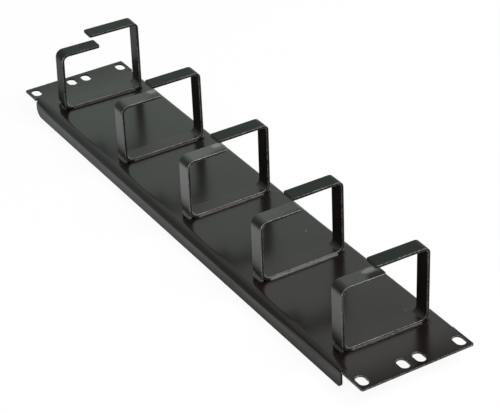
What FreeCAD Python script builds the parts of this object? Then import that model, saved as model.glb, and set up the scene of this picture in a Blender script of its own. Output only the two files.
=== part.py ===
import FreeCAD, Part
import math
import os

V = FreeCAD.Vector

# Horizontal cable manager, two rack units high: a folded steel channel with flat rack ears
# at both ends, and open rings of bent steel strip welded along its front face.
# Frame, in mm: X along the 19 inch width, Y across the rack units, Z out of the front face.
# The part lies on the free edges of its two flanges, at Z = 0.

# Rack standard
RACK_WIDTH = 482.6
RACK_STEP = 44.45
UNITS = 2
PANEL_PLAY = 0.8
HOLE_TO_END = 8.75
HOLE_TO_STEP = 6.35

# Folded panel
SHEET = 1.5
FLANGE_DEPTH = 13.7
FOLD_INSIDE = 1.2
EAR_LEFT = 19.5
EAR_RIGHT = 24.4
EAR_CORNER = 1.5
RELIEF_WIDTH = 0.8
RELIEF_DEPTH = 3.2
FLANGE_CORNER_LEFT = 7.0
FLANGE_CORNER_RIGHT = 4.0
SLOT_LENGTH = 10.5
SLOT_WIDTH = 6.8

# Open ring of flat strip: one leg is short, and the arm of the tall leg laps over its arm
RING_TO_END = 44.7
RING_OFFSET = 1.7
RING_WIDTH = 68.0
STRIP_WIDTH = 12.7
STRIP_GAUGE = 2.1
STRIP_EDGE = 0.35
SHORT_LEG = 48.0
TALL_LEG = 57.6
SHORT_ARM = 34.4
TALL_ARM = 41.2
BEND_INSIDE = 4.0
CREST_INSIDE = 2.6
ARM_CORNER = 2.0

# How each ring, bent and welded by hand, strays from the nominal one: its place along the
# panel, its turn about Z in degrees, its two leg heights, and the lean of the legs to +Y.
HAND_WORK = [
    {"drift": -0.6, "turn": 2.3, "short": 0.0, "tall": 1.1, "short_lean": 1.4, "tall_lean": 0.6},
    {"drift": 0.5, "turn": 0.6, "short": -0.1, "tall": -0.1, "short_lean": 0.0, "tall_lean": 0.0},
    {"drift": -1.2, "turn": 0.0, "short": -0.6, "tall": -1.1, "short_lean": 0.5, "tall_lean": 0.6},
    {"drift": -1.7, "turn": 0.0, "short": -1.0, "tall": 0.2, "short_lean": 0.5, "tall_lean": 0.0},
    {"drift": -0.4, "turn": 1.1, "short": 1.9, "tall": 0.2, "short_lean": 0.0, "tall_lean": 0.6},
]

# Welds at the foot of each ring: a rippled seam along one edge, and a fillet under each bend
SEAM_LEG = 1.45
SEAM_CROWN = 0.35
SEAM_RIPPLE = 4.4
SEAM_SIDES = 5
FILLET_REACH = 1.05
FILLET_START = 12.0
FILLET_CLIMB = 42.0
FILLET_CROWN = 0.25
FILLET_INSET = 0.8

# Sizes that follow from those above, and the closest that two lengths are told apart
PANEL_HEIGHT = UNITS * RACK_STEP - PANEL_PLAY
HOLE_SPAN = RACK_WIDTH - 2 * HOLE_TO_END
HOLE_ROWS = (HOLE_TO_STEP, UNITS * RACK_STEP / 2 - HOLE_TO_STEP)
RING_PITCH = (RACK_WIDTH - 2 * RING_TO_END) / (len(HAND_WORK) - 1)
SAME = 1e-4


def left_of(direction):
    """The unit vector a quarter turn anticlockwise from this one, in the YZ plane."""
    return V(0, -direction.z, direction.y)


def bend(before, corner, after, outside):
    """Centre and two directions of the bend that rounds a corner of the strip's outer face."""
    into = (corner - before).normalize()
    away = (after - corner).normalize()
    reach = outside * math.tan(into.getAngle(away) / 2)
    centre = corner - into * reach + left_of(into) * outside
    return centre, into, away


def strip_face(corners, inside_radii, gauge, depth):
    """Edges of the bent strip's section at this depth below its outer face."""
    edges = []
    here = corners[0] + left_of((corners[1] - corners[0]).normalize()) * depth
    for i, inside in enumerate(inside_radii):
        outside = inside + gauge
        centre, into, away = bend(corners[i], corners[i + 1], corners[i + 2], outside)
        radius = outside - depth
        first = centre - left_of(into) * radius
        last = centre - left_of(away) * radius
        middle = centre + (corners[i + 1] - centre).normalize() * radius
        edges.append(Part.LineSegment(here, first).toShape())
        edges.append(Part.Arc(first, middle, last).toShape())
        here = last
    away = (corners[-1] - corners[-2]).normalize()
    end = corners[-1] + left_of(away) * depth
    edges.append(Part.LineSegment(here, end).toShape())
    return edges


def bent_strip(corners, inside_radii, gauge, x_low, x_high):
    """Flat stock bent anticlockwise round the corners, which lie on its outer face."""
    outer = strip_face(corners, inside_radii, gauge, 0)
    inner = strip_face(corners, inside_radii, gauge, gauge)
    starts = [edges[0].firstVertex().Point for edges in (outer, inner)]
    ends = [edges[-1].lastVertex().Point for edges in (outer, inner)]
    caps = [Part.LineSegment(*pair).toShape() for pair in (starts, ends)]
    wire = Part.Wire(Part.sortEdges(outer + inner + caps)[0])
    section = Part.Face(wire)
    section.translate(V(x_low, 0, 0))
    return section.extrude(V(x_high - x_low, 0, 0))


def box(low, high):
    return Part.makeBox(high[0] - low[0], high[1] - low[1], high[2] - low[2], V(*low))


def edges_at(solid, length, x, y=None, z=None):
    """Straight edges of this length whose middle lies at x and, where given, at |y| and z."""
    found = []
    for edge in solid.Edges:
        middle = edge.CenterOfMass
        places = [(middle.x, x), (abs(middle.y), y), (middle.z, z)]
        here = all(want is None or abs(have - want) < SAME for have, want in places)
        if here and abs(edge.Length - length) < SAME:
            found.append(edge)
    return found


def slot(x, y):
    """Cutter for one rack slot, long along X."""
    half_straight = (SLOT_LENGTH - SLOT_WIDTH) / 2
    bottom = FLANGE_DEPTH - 2 * SHEET
    height = 3 * SHEET
    cutter = box(
        (x - half_straight, y - SLOT_WIDTH / 2, bottom),
        (x + half_straight, y + SLOT_WIDTH / 2, bottom + height),
    )
    for side in (-1, 1):
        end = V(x + side * half_straight, y, bottom)
        cutter = cutter.fuse(Part.makeCylinder(SLOT_WIDTH / 2, height, end))
    return cutter


def panel():
    """Channel folded from one sheet, with a flat ear beyond the flanges at each end."""
    half = PANEL_HEIGHT / 2
    left_end = -RACK_WIDTH / 2
    right_end = RACK_WIDTH / 2
    flange_left = left_end + EAR_LEFT
    flange_right = right_end - EAR_RIGHT
    corners = [V(0, half, 0), V(0, half, FLANGE_DEPTH), V(0, -half, FLANGE_DEPTH), V(0, -half, 0)]
    channel = bent_strip(corners, [FOLD_INSIDE] * 2, SHEET, flange_left, flange_right)
    ear_base = FLANGE_DEPTH - SHEET
    left_ear = box((left_end, -half, ear_base), (flange_left, half, FLANGE_DEPTH))
    right_ear = box((flange_right, -half, ear_base), (right_end, half, FLANGE_DEPTH))
    solid = channel.fuse([left_ear, right_ear]).removeSplitter()
    for x in (flange_left - RELIEF_WIDTH, flange_right):
        for y in (-half, half - RELIEF_DEPTH):
            notch = box((x, y, 0), (x + RELIEF_WIDTH, y + RELIEF_DEPTH, 2 * FLANGE_DEPTH))
            solid = solid.cut(notch)
    for x in (left_end, right_end):
        ear_edges = edges_at(solid, SHEET, x, y=half)
        solid = solid.makeFillet(EAR_CORNER, ear_edges)
    mid_flange = half - SHEET / 2
    for x, radius in ((flange_left, FLANGE_CORNER_LEFT), (flange_right, FLANGE_CORNER_RIGHT)):
        flange_edges = edges_at(solid, SHEET, x, y=mid_flange, z=0)
        solid = solid.makeFillet(radius, flange_edges)
    for x in (-HOLE_SPAN / 2, HOLE_SPAN / 2):
        for row in HOLE_ROWS:
            solid = solid.cut([slot(x, -row), slot(x, row)])
    return solid


def ring_corners(hand):
    """Corners of the ring's outer face, from the short arm's end to the tall arm's end."""
    low_y = RING_OFFSET - RING_WIDTH / 2
    high_y = RING_OFFSET + RING_WIDTH / 2
    short = SHORT_LEG + hand["short"]
    tall = TALL_LEG + hand["tall"]
    return [
        V(0, low_y + SHORT_ARM, short),
        V(0, low_y + hand["short_lean"], short),
        V(0, low_y, 0),
        V(0, high_y, 0),
        V(0, high_y + hand["tall_lean"], tall),
        V(0, high_y - TALL_ARM, tall),
    ]


def ring(hand):
    """Strip bent into an open ring, with its arm ends rounded and its long edges eased."""
    radii = [BEND_INSIDE, BEND_INSIDE, BEND_INSIDE, CREST_INSIDE]
    half = STRIP_WIDTH / 2
    solid = bent_strip(ring_corners(hand), radii, STRIP_GAUGE, -half, half)
    arm_ends = [edge for x in (-half, half) for edge in edges_at(solid, STRIP_GAUGE, x)]
    solid = solid.makeFillet(ARM_CORNER, arm_ends)
    long_edges = [
        edge
        for edge in solid.Edges
        if all(abs(abs(vertex.X) - half) < SAME for vertex in edge.Vertexes)
        and edge.BoundBox.XLength < SAME
    ]
    return solid.makeChamfer(STRIP_EDGE, long_edges)


def skinned(sections):
    """Solid with flat faces through a row of sections that have as many points each."""
    outlines = [sections[0], sections[-1]]
    for here, there in zip(sections, sections[1:]):
        for i in range(len(here)):
            outlines.append([here[i - 1], here[i], there[i], there[i - 1]])
    faces = [Part.Face(Part.makePolygon(points + points[:1])) for points in outlines]
    return Part.Solid(Part.makeShell(faces))


def seam_weld(hand):
    """Rounded bead with ripples, along the foot of the ring's +X edge."""
    corners = ring_corners(hand)
    outside = BEND_INSIDE + STRIP_GAUGE
    start = bend(*corners[1:4], outside)[0].y
    end = bend(*corners[2:5], outside)[0].y
    count = 2 * round((end - start) / SEAM_RIPPLE)
    sections = []
    for i in range(count + 1):
        y = start + (end - start) * i / count
        radius = SEAM_LEG + SEAM_CROWN * (i % 2)
        points = [V(STRIP_WIDTH / 2, y, 0)]
        for side in range(SEAM_SIDES + 1):
            angle = math.pi / 2 * side / SEAM_SIDES
            points.append(points[0] + V(math.cos(angle), 0, math.sin(angle)) * radius)
        sections.append(points)
    return skinned(sections)


def fillet_weld(hand, side):
    """Weld that fills the wedge under the ring's -Y bend (side -1) or +Y bend (side 1)."""
    corners = ring_corners(hand)
    outside = BEND_INSIDE + STRIP_GAUGE
    first = 1 if side < 0 else 2
    centre = bend(*corners[first : first + 3], outside)[0]

    def on_bend(degrees):
        angle = math.radians(degrees)
        return centre + V(0, side * math.sin(angle), -math.cos(angle)) * outside

    inner = on_bend(FILLET_START)
    middle = on_bend((FILLET_START + FILLET_CLIMB) / 2)
    upper = on_bend(FILLET_CLIMB)
    toe = V(0, centre.y + side * outside * FILLET_REACH, 0)
    root = V(0, inner.y, 0)
    chord = upper - toe
    bulge = V(0, side * abs(chord.z), abs(chord.y)).normalize() * FILLET_CROWN
    edges = [
        Part.LineSegment(root, toe).toShape(),
        Part.Arc(toe, toe + chord * 0.5 + bulge, upper).toShape(),
        Part.Arc(upper, middle, inner).toShape(),
        Part.LineSegment(inner, root).toShape(),
    ]
    section = Part.Face(Part.Wire(edges))
    length = STRIP_WIDTH - 2 * FILLET_INSET
    section.translate(V(-length / 2, 0, 0))
    return section.extrude(V(length, 0, 0))


def seat(shape, index, count, hand):
    """Turn a ring's part about Z and set it down on the panel's front face."""
    shape.rotate(V(0, 0, 0), V(0, 0, 1), -hand["turn"])
    x = (index - (count - 1) / 2) * RING_PITCH + hand["drift"]
    shape.translate(V(x, 0, FLANGE_DEPTH))
    return shape


def build():
    parts = {"panel": panel()}
    count = len(HAND_WORK)
    for index, hand in enumerate(HAND_WORK):
        number = index + 1
        pieces = {
            "ring": ring(hand),
            "seam_weld": seam_weld(hand),
            "front_fillet_weld": fillet_weld(hand, -1),
            "rear_fillet_weld": fillet_weld(hand, 1),
        }
        for name, shape in pieces.items():
            parts[f"{name}_{number}"] = seat(shape, index, count, hand)
    return parts


os.makedirs("parts", exist_ok=True)
for name, shape in build().items():
    shape.exportStep(f"parts/{name}.step")
    print(name, "valid" if shape.isValid() else "INVALID", round(shape.Volume, 1), len(shape.Solids))
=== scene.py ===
import math

import bmesh
import bpy
from mathutils import Matrix, Vector


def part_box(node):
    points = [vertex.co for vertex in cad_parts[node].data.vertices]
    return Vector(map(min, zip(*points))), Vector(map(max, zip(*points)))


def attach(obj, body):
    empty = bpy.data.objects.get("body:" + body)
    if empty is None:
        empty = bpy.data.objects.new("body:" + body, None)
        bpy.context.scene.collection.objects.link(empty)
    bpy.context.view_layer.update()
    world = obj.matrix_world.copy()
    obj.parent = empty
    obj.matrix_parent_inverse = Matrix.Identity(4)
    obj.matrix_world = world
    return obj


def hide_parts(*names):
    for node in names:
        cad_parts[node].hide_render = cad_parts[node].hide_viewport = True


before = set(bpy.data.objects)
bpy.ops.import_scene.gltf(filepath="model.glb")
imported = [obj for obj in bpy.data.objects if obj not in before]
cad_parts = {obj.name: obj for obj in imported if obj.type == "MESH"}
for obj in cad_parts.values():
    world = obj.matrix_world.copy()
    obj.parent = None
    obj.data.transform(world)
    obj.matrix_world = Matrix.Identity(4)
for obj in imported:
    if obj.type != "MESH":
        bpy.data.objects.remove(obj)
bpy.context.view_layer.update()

# A cable manager for a server rack: a folded panel, five rings of bent strip and their welds.
# All in metres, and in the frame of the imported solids.

mm = 0.001
tiny = 1e-7  # points nearer than this are one point
slack = 0.01 * mm  # for finding what lies on a line
noiseMiddle = (0.5, 0.5, 0.5)


class Wire:  # an output socket that takes part in sums
    def __init__(self, shop, socket):
        self.shop, self.socket = shop, socket

    def of(self, name):  # another output of the same node
        return Wire(self.shop, self.socket.node.outputs[name])

    def __add__(self, other):
        return self.shop.sum("ADD", self, other)

    def __radd__(self, other):
        return self.shop.sum("ADD", other, self)

    def __sub__(self, other):
        return self.shop.sum("SUBTRACT", self, other)

    def __rsub__(self, other):
        return self.shop.sum("SUBTRACT", other, self)

    def __mul__(self, other):
        return self.shop.sum("MULTIPLY", self, other)

    def __rmul__(self, other):
        return self.shop.sum("MULTIPLY", other, self)

    def __truediv__(self, other):
        return self.shop.sum("DIVIDE", self, other)

    def __rtruediv__(self, other):
        return self.shop.sum("DIVIDE", other, self)

    def __abs__(self):
        return self.shop.sum("ABSOLUTE", self, 0.0)


class Shop:  # makes the nodes of one tree, for a material, the world or a modifier
    def __init__(self, tree):
        self.tree = tree
        tree.nodes.clear()

    def node(self, kind, settings=None, sockets=None, out=0):
        made = self.tree.nodes.new(kind)
        for key, value in (settings or {}).items():
            if key == "kept":  # what a Capture Attribute node holds, by name
                for label, sort in value.items():
                    made.capture_items.new(sort, label)
            else:
                setattr(made, key, value)
        for key, value in (sockets or {}).items():
            for wire in value if isinstance(value, list) else [value]:
                if isinstance(wire, Wire):
                    self.tree.links.new(wire.socket, made.inputs[key])
                else:
                    made.inputs[key].default_value = wire
        return Wire(self, made.outputs[out]) if made.outputs else made

    def sum(self, kind, first, second):
        return self.node("ShaderNodeMath", {"operation": kind}, {0: first, 1: second})

    def least(self, first, second):
        return self.sum("MINIMUM", first, second)

    def most(self, first, second):
        return self.sum("MAXIMUM", first, second)

    def root(self, value):
        return self.sum("SQRT", value, 0.0)

    def vector(self, kind, first, second, out=0):  # SCALE takes a number as its second
        place = 3 if kind == "SCALE" else 1
        sockets = {0: first, place: second}
        return self.node("ShaderNodeVectorMath", {"operation": kind}, sockets, out)

    def between(self, value, low, high, start=0.0, end=1.0):  # smooth step from start to end
        settings = {"interpolation_type": "SMOOTHSTEP", "clamp": True}
        sockets = {0: value, 1: low, 2: high, 3: start, 4: end}
        return self.node("ShaderNodeMapRange", settings, sockets)

    def noise(self, place, scale, detail=2.0, rough=0.5, seed=None):
        settings = {"noise_dimensions": "3D" if seed is None else "4D"}
        sockets = {"Vector": place, "Scale": scale, "Detail": detail, "Roughness": rough}
        if seed is not None:
            sockets["W"] = seed
        return self.node("ShaderNodeTexNoise", settings, sockets)

    def split(self, value):  # X, with Y and Z as the other outputs
        return self.node("ShaderNodeSeparateXYZ", {}, {0: value})

    def mark(self, name):  # a value that the piece carries
        return self.node("ShaderNodeAttribute", {"attribute_name": name}, out="Fac")

    def blend(self, share, first, second):  # two colours
        first, second = [(*c, 1.0) if isinstance(c, tuple) else c for c in (first, second)]
        sockets = {0: share, 6: first, 7: second}
        return self.node("ShaderNodeMix", {"data_type": "RGBA"}, sockets, out=2)

    def keep(self, geometry, values):  # the geometry, then each value as it carries it from here
        sorts = {"VECTOR": "VECTOR", "VALUE": "FLOAT"}
        kept = {label: sorts[wire.socket.type] for label, wire in values.items()}
        sockets = {"Geometry": geometry, **values}
        held = self.node("GeometryNodeCaptureAttribute", {"kept": kept}, sockets)
        return [held] + [held.of(label) for label in values]

    def shift(self, geometry, offset):
        return self.node("GeometryNodeSetPosition", {}, {"Geometry": geometry, "Offset": offset})

    def store(self, geometry, marks):  # values that the finish reads from the piece
        settings = {"data_type": "FLOAT", "domain": "POINT"}
        for label, value in marks.items():
            sockets = {"Geometry": geometry, "Name": label, "Value": value}
            geometry = self.node("GeometryNodeStoreNamedAttribute", settings, sockets)
        return geometry

    def deliver(self, geometry, material):  # the end of a modifier's tree
        real = self.node("GeometryNodeRealizeInstances", {}, {"Geometry": geometry})
        sockets = {"Geometry": real, "Material": material}
        coated = self.node("GeometryNodeSetMaterial", {}, sockets)
        self.node("NodeGroupOutput", {}, {"Geometry": coated})


# What the three coats share: the scale, detail and roughness of each pattern, and then where
# the patterns begin to show and where they show in full.
coatGrain = {
    "drift": (9.0, 3.0, 0.5),
    "cloud": (60.0, 4.0, 0.6),
    "grit": (900.0, 2.0, 0.6),
    "peel": (620.0, 1.0, 0.4),
    "waves": (34.0, 2.0, 0.5),
}
coatWear = {
    "turn": (-0.16, 0.20),  # along X, from the left colour to the right one
    "turnDrift": 0.30,
    "dust": (0.50, 0.78),
    "rubbed": (0.30, 0.60, 0.75, 1.0),
    "edge": (0.40, 0.62, 0.06, 1.0),
    "spot": (0.35, 1.0),
    "spotCloud": 0.9,  # how ragged a spot's outline is
    "spotGrit": 0.6,
    "dustRough": 0.25,
    "rubbedRough": -0.06,
    "spotRough": 0.12,
}
# Black satin powder coat, brown-black under a skin that turns greener where it is thick.
panelCoat = {
    "left": (0.0052, 0.0038, 0.0032),
    "right": (0.0072, 0.0044, 0.0037),
    # pale cut edges, partly wear and partly painted highlight
    "edge": (0.060, 0.060, 0.055),
    "edgeWearAndHighlightShare": 0.45,
    "endEdgeWearAndHighlight": (0.33, 0.34, 0.34),  # the edges at the right end are paler still, partly wear and partly painted highlight
    "endFrom": (205 * mm, 222 * mm),
    "dust": (0.050, 0.047, 0.042),
    "dustShare": 0.06,
    "gloss": 0.52,
    "glossSwing": 0.10,  # with the cloud, as the roughness below
    "coatRough": 0.19,
    "rough": 0.24,
    "roughSwing": 0.10,
    "specular": 0.08,
    "peel": 0.003 * mm,  # depth of each
    "waves": 0.08 * mm,
}
panelEnds = [  # which end, where the gloss starts and ends to fade, and how much of it goes
    (1, 212 * mm, 246 * mm, 0.85),
    (-1, 203 * mm, 245 * mm, 0.45),
]
panelToe = {  # a dull strip beside each seam weld, placed as its ring sees it
    "start": (5 * mm, 6 * mm),
    "end": (8.2 * mm, 12.5 * mm),
    "past": (32 * mm, 35 * mm),  # each way from the middle of the ring's foot
    "front": (-0.9 * mm, -0.5 * mm),  # the sheet's back has none
    "share": 0.70,
}
panelSpots = [
    {"at": (64.8 * mm, 27.9 * mm), "size": (1.1 * mm, 0.8 * mm, 9 * mm),
     "share": 0.7, "shade": (0.20, 0.19, 0.17)},
    {"at": (184.9 * mm, 29.4 * mm), "size": (2.6 * mm, 1.6 * mm, 9 * mm),
     "share": 0.4, "shade": (0.08, 0.07, 0.06)},
]
stripCoat = {
    "outer": (0.0090, 0.0125, 0.0105),
    "inner": (0.0085, 0.0058, 0.0052),
    "turnDepth": 0.3 * mm,  # of each colour, before it turns into the other
    # pale edge colour, partly wear and partly painted highlight
    "edge": (0.260, 0.250, 0.225),
    "edgeWearAndHighlightShare": 0.6375,
    "edgeWidth": (0.25 * mm, 0.70 * mm),
    "dust": (0.060, 0.060, 0.052),
    "dustShare": 0.08,
    # the paler colour of the short side's outer face
    "rubbed": (0.014, 0.014, 0.013),
    "rubbedGloss": 0.20,
    "gloss": 0.56,
    "coatRough": 0.28,
    "rough": 0.30,
    "roughSwing": 0.12,
    "specular": 0.075,
    "peel": 0.003 * mm,
    "waves": 0.096 * mm,
    "crestWearAndHighlight": 1.2,  # the short side's upper bend is palest, partly wear and partly painted highlight
    "crestDull": 0.65,
    "edgeDull": 0.75,  # on the other edge, which gets none of the pale edge colour
}
weldCoat = {
    "left": (0.0150, 0.0120, 0.0100),
    "right": (0.0170, 0.0125, 0.0105),
    "dust": (0.070, 0.062, 0.052),
    "dustShare": 0.25,
    # paler weld colour, partly bare metal and partly painted highlight
    "rubbed": (0.120, 0.115, 0.102),
    "rubbedGloss": 0.35,
    "coatRough": 0.28,
    "rough": 0.34,
    "roughSwing": 0.20,
    "specular": 0.16,
    "peel": 0.012 * mm,
    "waves": 0.20 * mm,
}


def stripEdge(shop, side):  # 1 on one edge of the strip, from where a point lies in its section
    across, through = shop.mark("across"), shop.mark("through")
    fromEdge = ringSize["stripWidth"] / 2 - abs(across)
    fromFace = shop.least(through, ringSize["gauge"] - through)
    edge = 1.0 - shop.between(shop.most(fromEdge, fromFace), *stripCoat["edgeWidth"])
    return edge * shop.between(across * side, -mm, mm)


def panelSheen(shop, place, seats):  # the share of the panel's gloss that is left at a place
    along = shop.split(place)
    sheen = 1.0
    for side, near, far, fade in panelEnds:
        sheen = sheen * (1.0 - shop.between(along * side, near, far, 0.0, fade))
    for seat in seats:
        turned = {"Vector": place, "Location": seat.to_translation(), "Rotation": seat.to_euler()}
        own = shop.split(shop.node("ShaderNodeMapping", {"vector_type": "TEXTURE"}, turned))
        fromMiddle = abs(own.of("Y") - ringSize["offset"])
        toe = shop.between(own, *panelToe["start"]) * (1.0 - shop.between(own, *panelToe["end"]))
        toe = toe * (1.0 - shop.between(fromMiddle, *panelToe["past"]))
        toe = toe * shop.between(own.of("Z"), *panelToe["front"])
        sheen = sheen * (1.0 - toe * panelToe["share"])
    return sheen


def powderCoat(name, look, spots=(), seats=()):
    coat = bpy.data.materials.new(name)
    coat.use_nodes = True
    shop = Shop(coat.node_tree)
    place = shop.node("ShaderNodeTexCoord", out="Object")
    along = shop.split(place)
    drift, cloud, grit, peel, waves = [shop.noise(place, *grain) for grain in coatGrain.values()]
    onStrip = "inner" in look

    if onStrip:
        depth = look["turnDepth"]
        inside = shop.between(shop.mark("through"), depth, ringSize["gauge"] - depth)
        colour = shop.blend(inside, look["outer"], look["inner"])
    else:
        turn = shop.between(along + (drift - 0.5) * coatWear["turnDrift"], *coatWear["turn"])
        colour = shop.blend(turn, look["left"], look["right"])
    dust = shop.between(cloud * 0.75 + grit * 0.25, *coatWear["dust"]) * look["dustShare"]
    colour = shop.blend(dust, colour, look["dust"])
    rough = look["rough"] + (cloud - 0.5) * look["roughSwing"] + dust * coatWear["dustRough"]

    # paler patches where the piece's own mark says so
    if "rubbed" in look:
        rubbed = shop.between(cloud * 0.7 + drift * 0.3, *coatWear["rubbed"])
        rubbed = rubbed * shop.mark("rubbed")
        colour = shop.blend(rubbed, colour, look["rubbed"])
        rough = rough + rubbed * coatWear["rubbedRough"]
        gloss = rubbed * look["rubbedGloss"]
    else:
        gloss = panelSheen(shop, place, seats) * look["gloss"]
        gloss = gloss * (1.0 + (cloud - 0.5) * look["glossSwing"])
    if onStrip:
        crest = shop.mark("crest")
        dullEdge = stripEdge(shop, -ringSize["paleEdgeSide"]) * look["edgeDull"]
        gloss = gloss + shop.mark("gloss") * look["gloss"]
        gloss = gloss * (1.0 - dullEdge) * (1.0 - crest * look["crestDull"])

    if "edge" in look:  # pale edges, partly wear and partly painted highlight
        pale = look["edge"]
        wearAndHighlight = shop.between(grit * 0.6 + cloud * 0.4, *coatWear["edge"]) * look["edgeWearAndHighlightShare"]
        if onStrip:
            # only the +X edge turns pale, most on the upper bend: partly wear, partly painted
            # highlight
            wearAndHighlight = wearAndHighlight * stripEdge(shop, ringSize["paleEdgeSide"])
            wearAndHighlight = shop.least(wearAndHighlight * (1.0 + crest * look["crestWearAndHighlight"]), 1.0)
        else:
            wearAndHighlight = wearAndHighlight * shop.mark("edge")
            pale = shop.blend(shop.between(along, *look["endFrom"]), pale, look["endEdgeWearAndHighlight"])
        colour = shop.blend(wearAndHighlight, colour, pale)

    for spot in spots:  # pale patches at given places
        away = shop.vector("DIVIDE", shop.vector("SUBTRACT", place, spot["at"]), spot["size"])
        reach = shop.vector("LENGTH", away, (0.0, 0.0, 0.0), out="Value")
        reach = reach + (cloud - 0.5) * coatWear["spotCloud"]
        reach = reach + (grit - 0.5) * coatWear["spotGrit"]
        paleShare = (1.0 - shop.between(reach, *coatWear["spot"])) * spot["share"]
        colour = shop.blend(paleShare, colour, spot["shade"])
        rough = rough + paleShare * coatWear["spotRough"]

    height = peel * look["peel"] + waves * look["waves"]
    bump = {"Strength": 1.0, "Distance": 1.0, "Height": height}
    skin = {
        "Base Color": colour,
        "Roughness": rough,
        "Normal": shop.node("ShaderNodeBump", {}, bump),
        "Specular IOR Level": look["specular"],
        "Coat Weight": gloss,
        "Coat Roughness": look["coatRough"],
    }
    skin = shop.node("ShaderNodeBsdfPrincipled", {}, skin)
    shop.node("ShaderNodeOutputMaterial", {}, {"Surface": skin})
    return coat


def newTree(name, inputs):  # a modifier tree with one geometry socket and these inputs
    tree = bpy.data.node_groups.new(name, "GeometryNodeTree")
    face = tree.interface
    face.new_socket("Geometry", in_out="INPUT", socket_type="NodeSocketGeometry")
    sockets = {}
    for label, value in inputs.items():
        kind = {float: "Float", int: "Int", tuple: "Vector"}.get(type(value), "Material")
        socket = face.new_socket(label, in_out="INPUT", socket_type=f"NodeSocket{kind}")
        if kind != "Material":
            socket.default_value = value
        sockets[label] = socket.identifier
    face.new_socket("Geometry", in_out="OUTPUT", socket_type="NodeSocketGeometry")
    return tree, sockets


def runTree(name, path, tree, sockets, values):  # the tree's result as a plain mesh object
    source = bpy.data.objects.new(name + "Source", path)
    bpy.context.scene.collection.objects.link(source)
    modifier = source.modifiers.new("tree", "NODES")
    modifier.node_group = tree
    for label, value in values.items():
        modifier[sockets[label]] = value
    bpy.context.view_layer.update()
    graph = bpy.context.evaluated_depsgraph_get()
    mesh = bpy.data.meshes.new_from_object(source.evaluated_get(graph), depsgraph=graph)
    bpy.data.objects.remove(source)
    return evenShading(name, mesh)


def evenShading(name, mesh):  # flats keep one direction, and rounded edges run smoothly into them
    piece = bpy.data.objects.new(name, mesh)
    bpy.context.scene.collection.objects.link(piece)
    mesh.shade_smooth()
    weights = piece.modifiers.new("flats", "WEIGHTED_NORMAL")
    weights.weight = 80  # large faces lead
    graph = bpy.context.evaluated_depsgraph_get()
    done = bpy.data.meshes.new_from_object(piece.evaluated_get(graph), depsgraph=graph)
    piece.modifiers.remove(weights)
    piece.data = done
    piece.name = name
    done.name = name
    return piece


def polyline(name, points):
    path = bpy.data.curves.new(name, "CURVE")
    path.dimensions = "3D"
    spline = path.splines.new("POLY")
    spline.points.add(len(points) - 1)
    for point, place in zip(spline.points, points):
        point.co = (*place, 1.0)
    return path


panelSize = {
    "sheet": 1.5 * mm,
    "depth": 13.7 * mm,  # flange edge to front face
    "foldInside": 1.2 * mm,
    "earLeft": 19.5 * mm,
    "earRight": 24.4 * mm,
    "earCorner": 1.5 * mm,
    "reliefWidth": 0.8 * mm,
    "reliefDepth": 3.2 * mm,
    "flangeCornerLeft": 7.0 * mm,
    "flangeCornerRight": 4.0 * mm,
    "slotLength": 10.5 * mm,
    "slotWidth": 6.8 * mm,
    "slotArc": 0.999,  # share of the full round, so that a slot's corners stay apart
    "holeToEnd": 8.75 * mm,
    "holeRows": (6.35 * mm, 38.1 * mm),
    "rim": 0.28 * mm,  # rounding that the coat leaves on cut edges
    "slotRim": 0.50 * mm,
    "flangeRim": 0.25,  # share of that rounding on the flange, whose edge is sharp
    "flangeFrom": 0.1 * mm,  # past the panel's height
    "wallWearAndHighlight": 0.6,  # how pale the wall of an edge is, next to its rounding, partly wear and partly painted highlight
    "rimSteps": 3,
    "cornerSteps": 10,
    "slotSteps": 14,
}
# The press leaves a crisp fold on the rear side, sharper still to the right, and a softer one
# along the middle of the front.
softFold = {
    "runs": [(1.0, 8), (3.6, 40), (3.1, 14), (1.3, 28)],  # mm of outer face, and degrees it turns
    "left": (-15 * mm, 30 * mm),  # from the flange's left end, none to full
    "right": (110 * mm, 260 * mm),  # full to none
    "sharpRadius": 1.0 * mm,
    "sharpFrom": (40 * mm, 190 * mm),
    "runSteps": 24,
    "cuts": 42,  # across the fold, over this share of what is folded
    "cutShare": 0.65,
    "lead": 1.5 * mm,  # one more cut this far inside the fold
    "stepAlong": 6.0 * mm,
}


def roundedLoop(corners, arcSteps):  # corners are (x, y, radius), anticlockwise
    points = []
    count = len(corners)
    for i, (x, y, radius) in enumerate(corners):
        here = Vector((x, y))
        if radius <= 0.0:
            points.append(here)
            continue
        before = (Vector(corners[i - 1][:2]) - here).normalized()
        after = (Vector(corners[(i + 1) % count][:2]) - here).normalized()
        half = before.angle(after) / 2
        centre = here + (before + after).normalized() * (radius / math.sin(half))
        first = here + before * (radius / math.tan(half)) - centre
        last = here + after * (radius / math.tan(half)) - centre
        sweep = math.atan2(first.cross(last), first.dot(last))
        for step in range(arcSteps + 1):
            points.append(centre + Matrix.Rotation(sweep * step / arcSteps, 2) @ first)
    return points


def smoothStep(value, low, high):
    share = min(max((value - low) / (high - low), 0.0), 1.0)
    return share * share * (3 - 2 * share)


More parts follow.
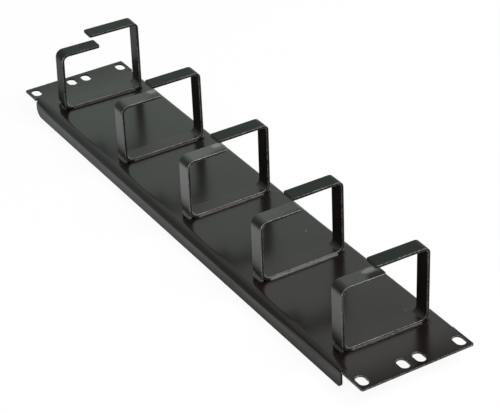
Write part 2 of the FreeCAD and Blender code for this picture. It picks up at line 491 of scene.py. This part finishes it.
def foldShape(runs, reach, depth):  # the outer face in section, from flat to the flange's end
    steps, heading, out, down = [], 0.0, 0.0, 0.0
    for length, turn in runs:
        pace = length * mm / softFold["runSteps"]
        halfTurn = math.radians(turn) / (2 * softFold["runSteps"])
        for _ in range(softFold["runSteps"]):
            heading += halfTurn
            out += pace * math.cos(heading)
            down += pace * math.sin(heading)
            heading += halfTurn
            steps.append((pace, out, down, heading))
    lead, breadth = max(reach - out, 0.0), out
    points = [(0.0, 0.0, 0.0, 0.0), (lead, lead, 0.0, 0.0)]
    for pace, out, down, heading in steps:
        points.append((points[-1][0] + pace, lead + out, down, heading))
    points.append((points[-1][0] + depth - down, reach, depth, math.pi / 2))
    whole = points[-1][0]

    def at(share):  # how far out, how far down and the heading, at a share of the whole face
        travelled = share * whole
        for before, after in zip(points, points[1:]):
            if travelled <= after[0] or after is points[-1]:
                part = (travelled - before[0]) / max(after[0] - before[0], tiny)
                return [b + (a - b) * part for b, a in zip(before[1:], after[1:])]

    return at, whole, breadth


def panelFolds(size, high):  # the three shapes of the fold, over the same reach
    quarter = math.pi / 2 / mm
    radius = size["foldInside"] + size["sheet"]
    reach = foldShape(softFold["runs"], 0.0, size["depth"])[2]
    soft = foldShape(softFold["runs"], reach, size["depth"])[0]
    crisp, whole, _ = foldShape([(quarter * radius, 90)], reach, size["depth"])
    sharp = foldShape([(quarter * softFold["sharpRadius"], 90)], reach, size["depth"])[0]
    return soft, crisp, sharp, high.y - reach, whole


def blankLoops(size, low, high, edge):  # the sheet's outline and slots before it is folded
    notch = high.y - size["reliefDepth"]
    left, right = low.x + size["earLeft"], high.x - size["earRight"]
    relief, corner = size["reliefWidth"], size["earCorner"]
    upper = [
        (high.x, high.y, corner),
        (right + relief, high.y, 0.0),
        (right + relief, notch, 0.0),
        (right, notch, 0.0),
        (right, edge, size["flangeCornerRight"]),
        (left, edge, size["flangeCornerLeft"]),
        (left, notch, 0.0),
        (left - relief, notch, 0.0),
        (left - relief, high.y, 0.0),
        (low.x, high.y, corner),
    ]
    lower = [(x, -y, radius) for x, y, radius in reversed(upper)]
    loops = [(size["rim"], roundedLoop(upper + lower, size["cornerSteps"]))]
    half, radius = size["slotLength"] / 2, size["slotWidth"] / 2
    arc = radius * size["slotArc"]
    for x in (low.x + size["holeToEnd"], high.x - size["holeToEnd"]):
        for y in [sign * row for row in size["holeRows"] for sign in (-1, 1)]:
            corners = [(-half, -radius), (-half, radius), (half, radius), (half, -radius)]
            corners = [(x + a, y + b, arc) for a, b in corners]
            loops.append((size["slotRim"], roundedLoop(corners, size["slotSteps"])))
    return loops


def rimOffsets(points, leastMitre=0.3):  # each point's way into the metal, for a unit inset
    ways = []
    count = len(points)
    for i, here in enumerate(points):
        before = (here - points[i - 1]).normalized()
        after = (points[(i + 1) % count] - here).normalized()
        turned = [Vector((-way.y, way.x)) for way in (before, after)]
        middle = (turned[0] + turned[1]).normalized()
        ways.append(middle / max(middle.dot(turned[0]), leastMitre))
    return ways


def rimProfile(rim, size):  # of a coated edge: the inset, the face it starts from and the drop
    front = []
    for step in range(size["rimSteps"] + 1):
        angle = math.pi / 2 * step / size["rimSteps"]
        front.append((rim * (1 - math.sin(angle)), 0.0, -rim * (1 - math.cos(angle))))
    return front + [(inset, -size["sheet"], -drop) for inset, _, drop in reversed(front)]


def flatBlank(size, low, high, edge):  # the sheet with its coated edges, its front face at zero
    mesh = bmesh.new()
    edgeMark = mesh.faces.layers.float.new("edge")
    flangeFrom = high.y + size["flangeFrom"]
    tops, bottoms = [], []
    for rim, points in blankLoops(size, low, high, edge):
        ways = rimOffsets(points)
        levels = []
        for inset, face, drop in rimProfile(rim, size):
            level = []
            for point, way in zip(points, ways):
                share = size["flangeRim"] if abs(point.y) > flangeFrom else 1.0
                place = (*(point + way * inset * share), face + drop * share)
                level.append(mesh.verts.new(place))
            levels.append(level)
        count = len(points)
        for row, (above, below) in enumerate(zip(levels, levels[1:])):
            for i in range(count):
                j = (i + 1) % count
                face = mesh.faces.new((above[i], below[i], below[j], above[j]))
                flange = max(abs(points[i].y), abs(points[j].y)) > flangeFrom
                # the cut edges are painted pale but the flange's rim is not: partly wear, partly
                # painted highlight
                rimWearAndHighlight = size["wallWearAndHighlight"] if row == size["rimSteps"] else 1.0
                face[edgeMark] = 0.0 if flange else rimWearAndHighlight
        for rimEdges, level in ((tops, levels[0]), (bottoms, levels[-1])):
            rimEdges += [mesh.edges.get((level[i], level[(i + 1) % count])) for i in range(count)]
    for rimEdges in (tops, bottoms):
        bmesh.ops.triangle_fill(mesh, use_beauty=True, use_dissolve=False, edges=rimEdges)
    return mesh


def foldedPanel(size, low, high):
    soft, crisp, sharp, start, whole = panelFolds(size, high)
    mesh = flatBlank(size, low, high, start + whole)
    left, right = low.x + size["earLeft"], high.x - size["earRight"]
    count, folded = softFold["cuts"], whole * softFold["cutShare"]
    lines = [sign * (start + folded * i / count) for sign in (-1, 1) for i in range(count + 1)]
    lines += [sign * (start - softFold["lead"]) for sign in (-1, 1)]
    cuts = [((0, line, 0), (0, 1, 0)) for line in lines]
    columns = int((right - left) / softFold["stepAlong"])
    cuts += [((left + (right - left) * i / columns, 0, 0), (1, 0, 0)) for i in range(1, columns)]
    for place, way in cuts:
        everything = mesh.verts[:] + mesh.edges[:] + mesh.faces[:]
        bmesh.ops.bisect_plane(mesh, geom=everything, dist=tiny, plane_co=place, plane_no=way)
    for vert in mesh.verts:
        x, y, z = vert.co
        past = abs(y) - start
        if past > 0 and left - slack < x < right + slack:  # the ears stay flat
            share = past / whole
            if y < 0:
                part = smoothStep(x - left, *softFold["left"])
                part = part * (1 - smoothStep(x, *softFold["right"]))
                other = soft(share)
            else:
                part = smoothStep(x, *softFold["sharpFrom"])
                other = sharp(share)
            out, down, heading = [a + (b - a) * part for a, b in zip(crisp(share), other)]
            y = math.copysign(start + out + z * math.sin(heading), y)
            z = z * math.cos(heading) - down
        vert.co = (x, y, z + high.z)
    bmesh.ops.remove_doubles(mesh, verts=mesh.verts[:], dist=tiny)
    bmesh.ops.recalc_face_normals(mesh, faces=mesh.faces[:])
    plain = bpy.data.meshes.new("foldedPanel")
    mesh.to_mesh(plain)
    mesh.free()
    return evenShading("foldedPanel", plain)


ringSize = {
    "toEnd": 44.7 * mm,  # end of the panel to the middle of the first ring
    "offset": 1.7 * mm,
    "width": 68.0 * mm,
    "stripWidth": 12.7 * mm,
    "gauge": 2.1 * mm,
    "rounding": 0.50 * mm,
    "shortLeg": 48.0 * mm,
    "tallLeg": 57.6 * mm,
    "shortArm": 34.4 * mm,
    "tallArm": 41.2 * mm,
    "bendInside": 4.0 * mm,
    "crestInside": 2.6 * mm,
    "crestPoint": 4,  # of the path's corners, the one with the tighter bend
    "armCorner": 1.2 * mm,
    "paleEdgeSide": -1.0,  # the sign of the strip's section on its +X edge, the only edge given the pale colour, partly wear and partly painted highlight
    "unevenness": 0.12 * mm,
    "unevenScale": 55.0,
    "bendSteps": 20,
    "edgeSteps": 3,
    "stepAlong": 0.7 * mm,
}
ringWear = {  # distances along the strip from the short arm's end, and how each mark fades
    "reach": 78.5 * mm,  # the short side is paler and glossier as far as this
    "reachFade": (-6.0 * mm, 2.0 * mm),
    "baseEnd": 144.0 * mm,
    "baseFade": (-4.0 * mm, 25.0 * mm),
    "crestStart": 31.0 * mm,
    "crestEnd": 36.5 * mm,
    "crestFade": (-1.5 * mm, 1.5 * mm),
    "rubbedDepth": (0.2 * mm, 0.5 * mm),
}
# How each ring, bent and welded by hand, strays from the nominal one in mm and degrees, and how
# glossy its short side is.
handNames = ("drift", "turn", "short", "tall", "shortLean", "tallLean", "gloss")
handWork = [
    (-0.6, 2.3, 0.0, 1.1, 1.4, 0.6, 0.0),
    (0.5, 0.6, -0.1, -0.1, 0.0, 0.0, 0.95),
    (-1.2, 0.0, -0.6, -1.1, 0.5, 0.6, 1.60),
    (-1.7, 0.0, -1.0, 0.2, 0.5, 0.0, 1.15),
    (-0.4, 1.1, 1.9, 0.2, 0.0, 0.6, 0.95),
]
handWork = [dict(zip(handNames, values)) for values in handWork]
armPalePatches = [  # pale patches: which ring, and where on the top of its short arm
    {"ring": 2, "at": (-4.0 * mm, -0.9 * mm), "size": (4.0 * mm, 6.0 * mm, 1.2 * mm),
     "share": 0.9, "shade": (0.36, 0.35, 0.31)},
    {"ring": 3, "at": (-3.2 * mm, -1.8 * mm), "size": (4.2 * mm, 6.4 * mm, 1.2 * mm),
     "share": 0.9, "shade": (0.36, 0.35, 0.31)},
    {"ring": 5, "at": (-3.0 * mm, -4.9 * mm), "size": (4.2 * mm, 7.4 * mm, 1.2 * mm),
     "share": 0.9, "shade": (0.34, 0.33, 0.29)},
]


def ringCorners(size, hand):  # outer face of the strip, short arm's end to tall arm's end
    low = size["offset"] - size["width"] / 2
    high = size["offset"] + size["width"] / 2
    short = size["shortLeg"] + hand["short"] * mm
    tall = size["tallLeg"] + hand["tall"] * mm
    return [
        Vector((0, low + size["shortArm"], short)),
        Vector((0, low + hand["shortLean"] * mm, short)),
        Vector((0, low, 0)),
        Vector((0, high, 0)),
        Vector((0, high + hand["tallLean"] * mm, tall)),
        Vector((0, high - size["tallArm"], tall)),
    ]


def seat(size, hand, index, low, high):  # where that ring stands on the panel
    pitch = (high.x - low.x - 2 * size["toEnd"]) / (len(handWork) - 1)
    x = (index - (len(handWork) - 1) / 2) * pitch + hand["drift"] * mm
    turn = Matrix.Rotation(math.radians(-hand["turn"]), 4, "Z")
    return Matrix.Translation((x, 0, high.z)) @ turn


def stripTree():
    inputs = {
        "Strip width": ringSize["stripWidth"],
        "Gauge": ringSize["gauge"],
        "Rounding": ringSize["rounding"],
        "Outer bend": ringSize["bendInside"] + ringSize["gauge"],
        "Outer crest": ringSize["crestInside"] + ringSize["gauge"],
        "Arm corner": ringSize["armCorner"],
        "Unevenness": ringSize["unevenness"],
        "Pale reach": ringWear["reach"],
        "Base end": ringWear["baseEnd"],
        "Crest start": ringWear["crestStart"],
        "Crest end": ringWear["crestEnd"],
        "Pale side": 1.0,
        "Gloss": 1.0,
        "Seed": 3,
        "Material": None,
    }
    tree, sockets = newTree("bentStrip", inputs)
    shop = Shop(tree)
    given = shop.node("NodeGroupInput")

    def past(travelled, name, fade):  # 0 to 1 about a place along the strip
        start, end = ringWear[fade]
        return shop.between(travelled, given.of(name) + start, given.of(name) + end)

    settings = {"data_type": "INT", "operation": "EQUAL"}
    isCrest = {2: shop.node("GeometryNodeInputIndex"), 3: ringSize["crestPoint"]}
    isCrest = shop.node("FunctionNodeCompare", settings, isCrest)
    radius = {0: isCrest, 1: given.of("Outer bend"), 2: given.of("Outer crest")}
    radius = shop.node("GeometryNodeSwitch", {"input_type": "FLOAT"}, radius)
    bent = {"Curve": given, "Radius": radius, "Count": ringSize["bendSteps"]}
    bent = shop.node("GeometryNodeFilletCurve", {"mode": "POLY"}, bent)
    bent = {"Curve": bent, "Length": ringSize["stepAlong"]}
    bent = shop.node("GeometryNodeResampleCurve", {"mode": "LENGTH"}, bent)
    alongStrip = {
        "sideways": shop.node("GeometryNodeInputNormal"),
        "travelled": shop.node("GeometryNodeSplineParameter", out="Length"),
        "total": shop.node("GeometryNodeSplineLength"),
    }
    bent, sideways, travelled, total = shop.keep(bent, alongStrip)
    # the section lies wholly inside the path, because the path is the strip's outer face
    section = {"Width": given.of("Strip width"), "Height": given.of("Gauge")}
    section = shop.node("GeometryNodeCurvePrimitiveQuadrilateral", {"mode": "RECTANGLE"}, section)
    section = {"Curve": section, "Radius": given.of("Rounding"), "Count": ringSize["edgeSteps"]}
    section = shop.node("GeometryNodeFilletCurve", {"mode": "POLY"}, section)
    drop = shop.node("ShaderNodeCombineXYZ", {}, {"Y": given.of("Gauge") * 0.5})
    section = shop.shift(section, drop)
    spot = shop.split(shop.node("GeometryNodeInputPosition"))
    section, across, through = shop.keep(section, {"across": spot, "through": spot.of("Y")})
    swept = {"Curve": bent, "Profile Curve": section, "Fill Caps": True}
    swept = shop.node("GeometryNodeCurveToMesh", {}, swept)
    # the arm ends are rounded in plan
    left = shop.least(travelled, total - travelled)
    corner = given.of("Arm corner")
    short = shop.most(corner - left, 0.0)
    depth = shop.root(corner * corner - short * short)
    half = given.of("Strip width") * 0.5
    narrow = (half - corner + depth) / half
    swept = shop.shift(swept, shop.vector("SCALE", sideways, across * (narrow - 1.0)))
    # bent by hand, so no face is quite flat
    place = shop.node("GeometryNodeInputPosition")
    wobble = shop.noise(place, ringSize["unevenScale"], seed=given.of("Seed")).of("Color")
    wobble = shop.vector("SUBTRACT", wobble, noiseMiddle)
    swept = shop.shift(swept, shop.vector("SCALE", wobble, given.of("Unevenness")))
    # the short side's outer face is paler, and the coat is glossier on the short side and on the
    # base
    shortSide = 1.0 - past(travelled, "Pale reach", "reachFade")
    base = (1.0 - shortSide) * (1.0 - past(travelled, "Base end", "baseFade"))
    outside = shop.between(through, *ringWear["rubbedDepth"], 1.0, 0.0)
    # the short side's upper bend, where the pale edge is strongest and the coat duller
    crest = past(travelled, "Crest start", "crestFade")
    crest = crest * (1.0 - past(travelled, "Crest end", "crestFade"))
    marks = {
        "across": across,
        "through": through,
        "rubbed": shortSide * given.of("Pale side") * outside,
        "gloss": shortSide * given.of("Gloss") + base,
        "crest": crest,
    }
    shop.deliver(shop.store(swept, marks), given.of("Material"))
    return tree, sockets


seamWeld = {
    "Bead radius": 1.45 * mm,
    "Ripple pitch": 2.2 * mm,
    "Ripple depth": 0.28 * mm,
    "Ripple lag": 1.1 * mm,
    "Lumps": 0.90,
    "Wander": 0.30 * mm,
    "Spatter": 12,
    "Spatter size": 0.26 * mm,
    "Spatter reach": 4.5 * mm,
}
footPlace = {  # of the bead's middle line
    "inset": 0.8 * mm,  # from the strip's two edges
    "in": 0.9 * mm,  # from the leg's outer face
    "up": 0.5 * mm,  # from the panel
}
footWeld = {
    "Height": footPlace["up"],  # of the bead's middle over the panel
    "Bead radius": 1.75 * mm,
    "Ripple pitch": 2.6 * mm,
    "Ripple depth": 0.22 * mm,
    "Ripple lag": 1.2 * mm,
    "Lumps": 0.75,
    "Wander": 0.60 * mm,
    "Spatter": 5,
    "Spatter size": 0.24 * mm,
    "Spatter reach": 3.5 * mm,
}
beadMake = {  # what all beads share
    "stepAlong": 0.22 * mm,
    "sides": 16,
    "wanderScale": 150.0,
    "lumpScale": 210.0,
    "rippleScale": 320.0,
    "rippleShow": (0.25, 0.6),  # of its noise, where ripples start and where they are full
    "thinnest": 0.01,  # the tip's squared share of the radius
    "seedPace": 3.7,  # keeps one bead's lumps clear of the next one's
    "dropSeedPace": 11.0,
    "dropAlong": (0.03, 0.97),
    "dropFrom": 1.15,  # nearest drop, in bead radii
    "dropSize": (0.45, 1.25),
    "dropFlat": 0.7,
}
paleSeams = [0.05, 0.10, 0.40, 0.80, 0.30]  # how pale each ring's welds are, first to last, partly bare metal and partly painted highlight
# the same for the welds under the bends
paleFeet = [0.15, 0.80, 1.00, 1.00, 0.30]
rearPale = 0.5  # share of that at the rear


def beadTree():
    inputs = {**seamWeld, "Height": 0.0, "Outward": (1.0, 0.0, 0.0), "Paleness": 0.5}
    tree, sockets = newTree("weldBead", {**inputs, "Seed": 1, "Material": None})
    shop = Shop(tree)
    given = shop.node("NodeGroupInput")
    radius, pitch = given.of("Bead radius"), given.of("Ripple pitch")
    path = {"Curve": given, "Length": beadMake["stepAlong"]}
    path = shop.node("GeometryNodeResampleCurve", {"mode": "LENGTH"}, path)
    place = shop.node("GeometryNodeInputPosition")

    def lumps(scale, shift):  # 0 to 1 along the bead
        seed = given.of("Seed") * beadMake["seedPace"] + shift
        return shop.noise(place, scale, 1.0, seed=seed)

    wander = shop.vector("SUBTRACT", lumps(beadMake["wanderScale"], 0.0).of("Color"), noiseMiddle)
    path = shop.shift(path, shop.vector("SCALE", wander, given.of("Wander")))
    length = shop.node("GeometryNodeSplineParameter", out="Length")
    left = shop.least(length, shop.node("GeometryNodeSplineLength") - length)
    end = shop.most(radius - left, 0.0) / radius
    fat = shop.root(shop.most(1.0 - end * end, beadMake["thinnest"]))
    fat = fat * (1.0 + (lumps(beadMake["lumpScale"], 1.3) - 0.5) * given.of("Lumps"))
    path, travelled = shop.keep(path, {"travelled": length})
    circle = {"Resolution": beadMake["sides"], "Radius": radius}
    circle = shop.node("GeometryNodeCurvePrimitiveCircle", {"mode": "RADIUS"}, circle)
    spot = shop.split(place)
    circle, lean = shop.keep(circle, {"lean": (abs(spot) - abs(spot.of("Y"))) / radius})
    bead = {"Curve": path, "Profile Curve": circle, "Scale": fat, "Fill Caps": True}
    bead = shop.node("GeometryNodeCurveToMesh", {}, bead)
    phase = shop.sum("FRACT", (travelled + lean * lean * given.of("Ripple lag")) / pitch, 0.0)
    shown = shop.between(lumps(beadMake["rippleScale"], 2.1), *beadMake["rippleShow"])
    ridge = (1.0 - phase * phase) * given.of("Ripple depth") * shown
    normal = shop.node("GeometryNodeInputNormal")
    bead = shop.shift(bead, shop.vector("SCALE", normal, ridge))

    def chance(low, high, shift):
        seed = given.of("Seed") * beadMake["dropSeedPace"] + shift
        found = {2: low, 3: high, 8: seed}
        return shop.node("FunctionNodeRandomValue", {"data_type": "FLOAT"}, found, out=1)

    # drops of metal thrown beside the bead
    along = {"Curves": given, "Factor": chance(*beadMake["dropAlong"], 1.0)}
    along = shop.node("GeometryNodeSampleCurve", {"mode": "FACTOR"}, along, out="Position")
    far = chance(0.0, 1.0, 2.0)
    away = radius * beadMake["dropFrom"] + far * far * given.of("Spatter reach")
    away = shop.vector("ADD", shop.vector("SCALE", given.of("Outward"), away), along)
    down = shop.node("ShaderNodeCombineXYZ", {}, {"Z": given.of("Height")})
    away = shop.vector("SUBTRACT", away, down)
    drops = shop.node("GeometryNodePoints", {}, {"Count": given.of("Spatter")})
    drops = shop.node("GeometryNodeSetPosition", {}, {"Geometry": drops, "Position": away})
    drop = shop.node("GeometryNodeMeshIcoSphere", {}, {"Radius": 1.0, "Subdivisions": 2})
    size = given.of("Spatter size") * chance(*beadMake["dropSize"], 3.0)
    size = {"X": size, "Y": size, "Z": size * beadMake["dropFlat"]}
    size = shop.node("ShaderNodeCombineXYZ", {}, size)
    drops = {"Points": drops, "Instance": drop, "Scale": size}
    drops = shop.node("GeometryNodeInstanceOnPoints", {}, drops)
    drops = shop.node("GeometryNodeRealizeInstances", {}, {"Geometry": drops})

    both = shop.node("GeometryNodeJoinGeometry", {}, {0: [bead, drops]})
    shop.deliver(shop.store(both, {"rubbed": given.of("Paleness")}), given.of("Material"))
    return tree, sockets


def seamPath(size):  # foot of the strip's +X edge, on the panel
    bend = size["bendInside"] + size["gauge"]
    low = size["offset"] - size["width"] / 2 + bend
    high = size["offset"] + size["width"] / 2 - bend
    x = size["stripWidth"] / 2
    return [Vector((x, low, 0)), Vector((x, high, 0))]


def footPath(size, side):  # in the wedge under the bend on that side
    y = size["offset"] + side * (size["width"] / 2 - footPlace["in"])
    x = size["stripWidth"] / 2 - footPlace["inset"]
    return [Vector((-x, y, footPlace["up"])), Vector((x, y, footPlace["up"]))]


cameraPlace = {
    "at": (1.07433, -0.60159, 0.77700),
    "right": (0.52200758, 0.85202455, -0.0395253),
    "up": (-0.4335902, 0.3049819, 0.84793017),
    "lens": 143.36,
    "sensor": 36.0,
    "shift": (-0.0003, -0.00088),
    "clip": (0.05, 50.0),
}


def placeCamera(values):
    right, up = Vector(values["right"]).normalized(), Vector(values["up"]).normalized()
    back = right.cross(up)
    turn = Matrix((right, up, back)).transposed().to_4x4()
    camera = bpy.data.objects.new("camera", bpy.data.cameras.new("camera"))
    camera.data.sensor_width = values["sensor"]
    camera.data.lens = values["lens"]
    camera.data.shift_x, camera.data.shift_y = values["shift"]
    camera.data.clip_start, camera.data.clip_end = values["clip"]
    camera.matrix_world = Matrix.Translation(values["at"]) @ turn
    bpy.context.scene.collection.objects.link(camera)
    bpy.context.scene.camera = camera


floorSheet = {
    "half": 6.0,
    "tint": (0.90, 0.90, 0.90),
    "glow": 0.93,  # share of the floor that is plain white whatever falls on it
    "shine": (0.38, 0.13),  # the same share where the coat mirrors the floor, left and right
    "shineAlong": (-0.10, 0.10),
    "shineFrom": (-0.16, -0.085),  # along Y, so that the floor near the front stays dim
}
sky = {
    "behind": (-0.866, 0.5),  # the bright sweep stands this way in plan
    "sweepFrom": (0.16, 0.58),
    "sweepTop": (0.64, 0.86),
    "sweepGlow": 0.86,  # over the dim glow
    "dimGlow": 0.14,
    "low": (0.85, 1.0, 0.925),
    "high": (1.0, 0.98, 0.94),
    "turn": (0.50, 0.61),  # height at which one tint turns into the other
}
studioLamps = [
    {"name": "softTop", "at": (1.1, 0.9, 1.6), "size": 1.2, "power": 44.0},
    {"name": "softSide", "at": (1.3, -1.3, 1.5), "size": 1.4, "power": 18.0},
]


def layFloor(values):
    half = values["half"]
    corners = [(-half, -half, 0), (half, -half, 0), (half, half, 0), (-half, half, 0)]
    plane = bpy.data.meshes.new("floor")
    plane.from_pydata(corners, [], [(0, 1, 2, 3)])
    floor = bpy.data.objects.new("floor", plane)
    bpy.context.scene.collection.objects.link(floor)
    white = bpy.data.materials.new("floorWhite")
    white.use_nodes = True
    shop = Shop(white.node_tree)
    matt = shop.node("ShaderNodeBsdfDiffuse", {}, {"Color": (*values["tint"], 1.0)})
    glow = shop.node("ShaderNodeEmission", {}, {"Color": (1, 1, 1, 1), "Strength": 1.0})
    rays = shop.node("ShaderNodeLightPath", out="Is Camera Ray")
    mirrored = shop.most(rays.of("Is Glossy Ray"), rays.of("Is Transmission Ray"))
    along = shop.split(shop.node("ShaderNodeTexCoord", out="Object"))
    shine = shop.between(along, *values["shineAlong"], *values["shine"])
    shine = shine * shop.between(along.of("Y"), *values["shineFrom"])
    seen = rays * values["glow"] + mirrored * shine
    both = shop.node("ShaderNodeMixShader", {}, {0: seen, 1: matt, 2: glow})
    under = shop.node("ShaderNodeNewGeometry", out="Backfacing")
    clear = shop.node("ShaderNodeBsdfTransparent")
    both = shop.node("ShaderNodeMixShader", {}, {0: under, 1: both, 2: clear})
    shop.node("ShaderNodeOutputMaterial", {}, {"Surface": both})
    plane.materials.append(white)


def hangSky(values):
    world = bpy.data.worlds.new("studio")
    world.use_nodes = True
    bpy.context.scene.world = world
    shop = Shop(world.node_tree)
    way = shop.split(shop.node("ShaderNodeTexCoord", out="Generated"))
    x, y = values["behind"]
    behind = shop.between(way * x + way.of("Y") * y, *values["sweepFrom"])
    low = 1.0 - shop.between(way.of("Z"), *values["sweepTop"])
    sweep = behind * low * values["sweepGlow"] + values["dimGlow"]
    turn = shop.between(way.of("Z"), *values["turn"])
    tint = shop.blend(turn, values["low"], values["high"])
    light = shop.node("ShaderNodeBackground", {}, {"Color": tint, "Strength": sweep})
    shop.node("ShaderNodeOutputWorld", {}, {"Surface": light})


def hangLamps(lamps):
    for lamp in lamps:
        light = bpy.data.lights.new(lamp["name"], "AREA")
        light.size = lamp["size"]
        light.energy = lamp["power"]
        holder = bpy.data.objects.new(lamp["name"], light)
        holder.location = lamp["at"]
        holder.rotation_euler = (-Vector(lamp["at"])).to_track_quat("-Z", "Y").to_euler()
        bpy.context.scene.collection.objects.link(holder)


def finishPiece(piece, coat, node):
    piece.data.materials.clear()
    piece.data.materials.append(coat)
    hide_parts(node)
    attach(piece, "root")


placeCamera(cameraPlace)
print("camera placed")
layFloor(floorSheet)
hangSky(sky)
hangLamps(studioLamps)
bpy.context.scene.view_settings.view_transform = "Standard"
print("studio lit")

low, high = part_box("panel")
seats = [seat(ringSize, hand, index, low, high) for index, hand in enumerate(handWork)]
armPatches = []
for armPatch in armPalePatches:
    index = armPatch["ring"] - 1
    top = Vector((*armPatch["at"], ringSize["shortLeg"] + handWork[index]["short"] * mm))
    armPatches.append({**armPatch, "at": tuple(seats[index] @ top)})
spots = [{**spot, "at": (*spot["at"], high.z)} for spot in panelSpots]
panelMetal = powderCoat("panelCoat", panelCoat, spots, seats)
stripMetal = powderCoat("stripCoat", stripCoat, armPatches)
weldMetal = powderCoat("weldCoat", weldCoat)
print("finishes mixed")

finishPiece(foldedPanel(panelSize, low, high), panelMetal, "panel")
print("panel folded")

tree, sockets = stripTree()
for index, (hand, place) in enumerate(zip(handWork, seats)):
    path = polyline("ringPath", [place @ corner for corner in ringCorners(ringSize, hand)])
    values = {
        "Pale side": float(index > 0),  # the first ring's short side stays as dark as the rest
        "Gloss": hand["gloss"],
        "Seed": index + 3,
        "Material": stripMetal,
    }
    ring = runTree(f"bentRing{index + 1}", path, tree, sockets, values)
    finishPiece(ring, stripMetal, f"ring_{index + 1}")
print("rings bent")

tree, sockets = beadTree()
front, rear = footPath(ringSize, -1), footPath(ringSize, 1)
for index, place in enumerate(seats):
    pale = paleFeet[index]
    beads = [
        ("seamBead", seamPath(ringSize), (1, 0, 0), seamWeld, paleSeams[index], "seam_weld"),
        ("frontBead", front, (0, -1, 0), footWeld, pale, "front_fillet_weld"),
        ("rearBead", rear, (0, 1, 0), footWeld, pale * rearPale, "rear_fillet_weld"),
    ]
    for order, (kind, points, outward, look, paleShare, slotName) in enumerate(beads):
        name = f"{kind}{index + 1}"
        values = {
            **look,
            "Outward": place.to_3x3() @ Vector(outward),
            "Paleness": paleShare,
            "Seed": len(beads) * index + order,
            "Material": weldMetal,
        }
        path = polyline(name, [place @ point for point in points])
        bead = runTree(name, path, tree, sockets, values)
        finishPiece(bead, weldMetal, f"{slotName}_{index + 1}")
print("welds laid")
